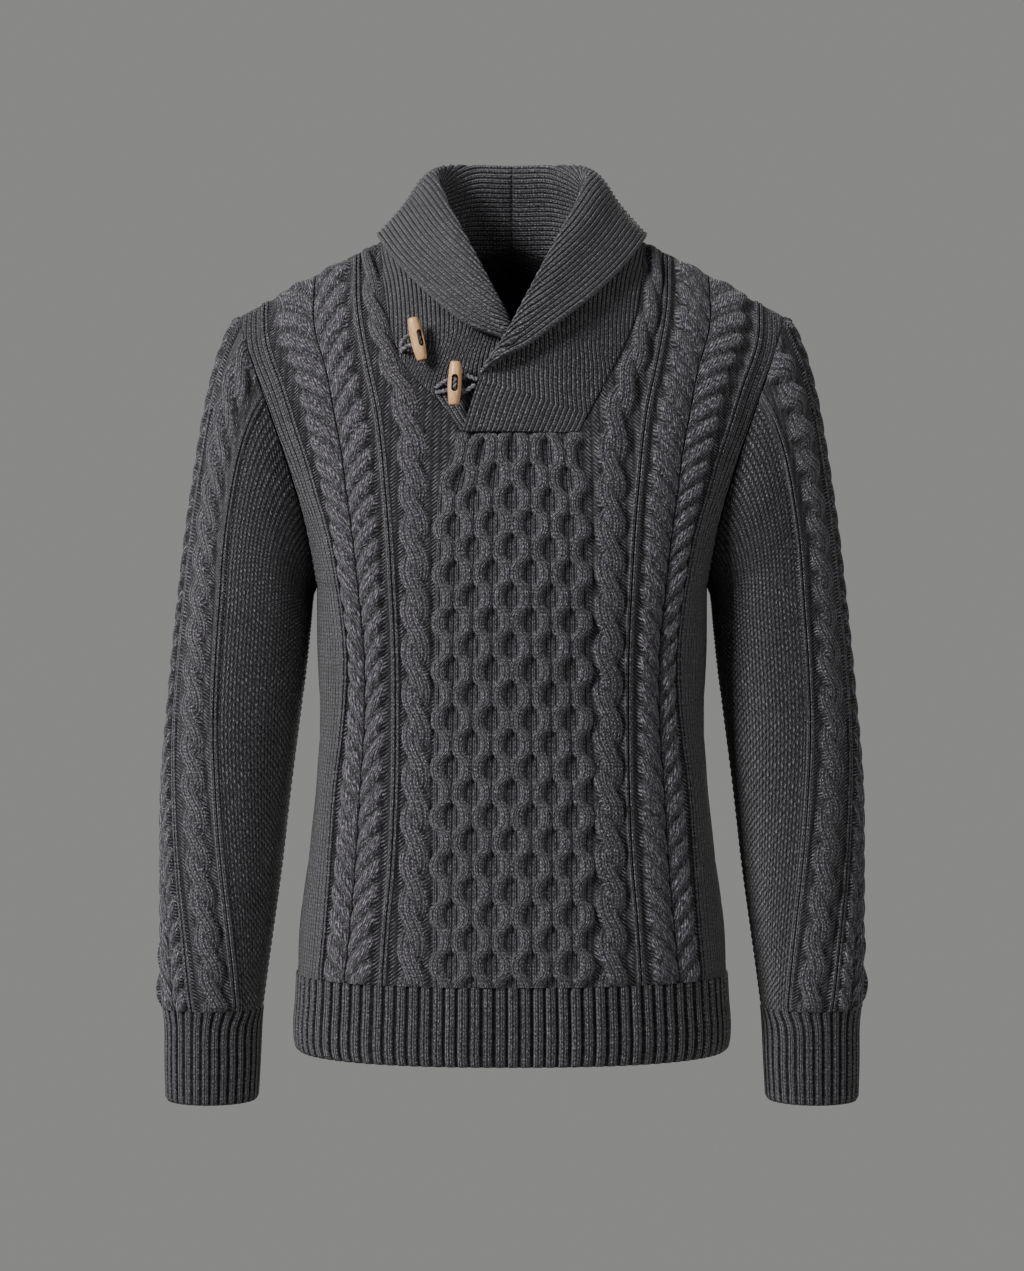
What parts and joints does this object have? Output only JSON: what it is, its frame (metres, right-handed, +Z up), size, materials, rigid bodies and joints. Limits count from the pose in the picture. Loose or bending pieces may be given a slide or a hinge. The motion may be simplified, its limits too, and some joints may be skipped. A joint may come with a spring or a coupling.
{
  "type": "shawl collar cable-knit pullover",
  "caption": "Long-sleeved cable-knit pullover, filled out as if worn, with a ribbed shawl collar that laps left over right and closes with wooden toggles on cord.",
  "frame": {"origin": "midway between the two high shoulder points, where the shoulder seams meet the neck seam and the wearer's shoulders and neck carry the garment", "axes": "+Z up, -Y out of the garment's front, +X to the wearer's left"},
  "size_m": [0.5901, 0.251, 0.7878],
  "materials": {
    "cable_knit": "charcoal marled wool, matt",
    "rib_knit": "charcoal marled wool rib, matt",
    "toggle_wood": "light smooth wood, satin",
    "cord": "grey twisted wool yarn, matt"
  },
  "bodies": {
    "root": {"front": "cable_knit", "back": "cable_knit", "sleeve_left": "cable_knit", "sleeve_right": "cable_knit", "hem_rib": "rib_knit", "cuff_left": "rib_knit", "cuff_right": "rib_knit", "collar_left": "rib_knit", "collar_right": "rib_knit", "toggle_upper": "toggle_wood", "toggle_lower": "toggle_wood", "cord_upper": "cord", "cord_lower": "cord", "loop_lower": "cord"}
  },
  "joints": []
}
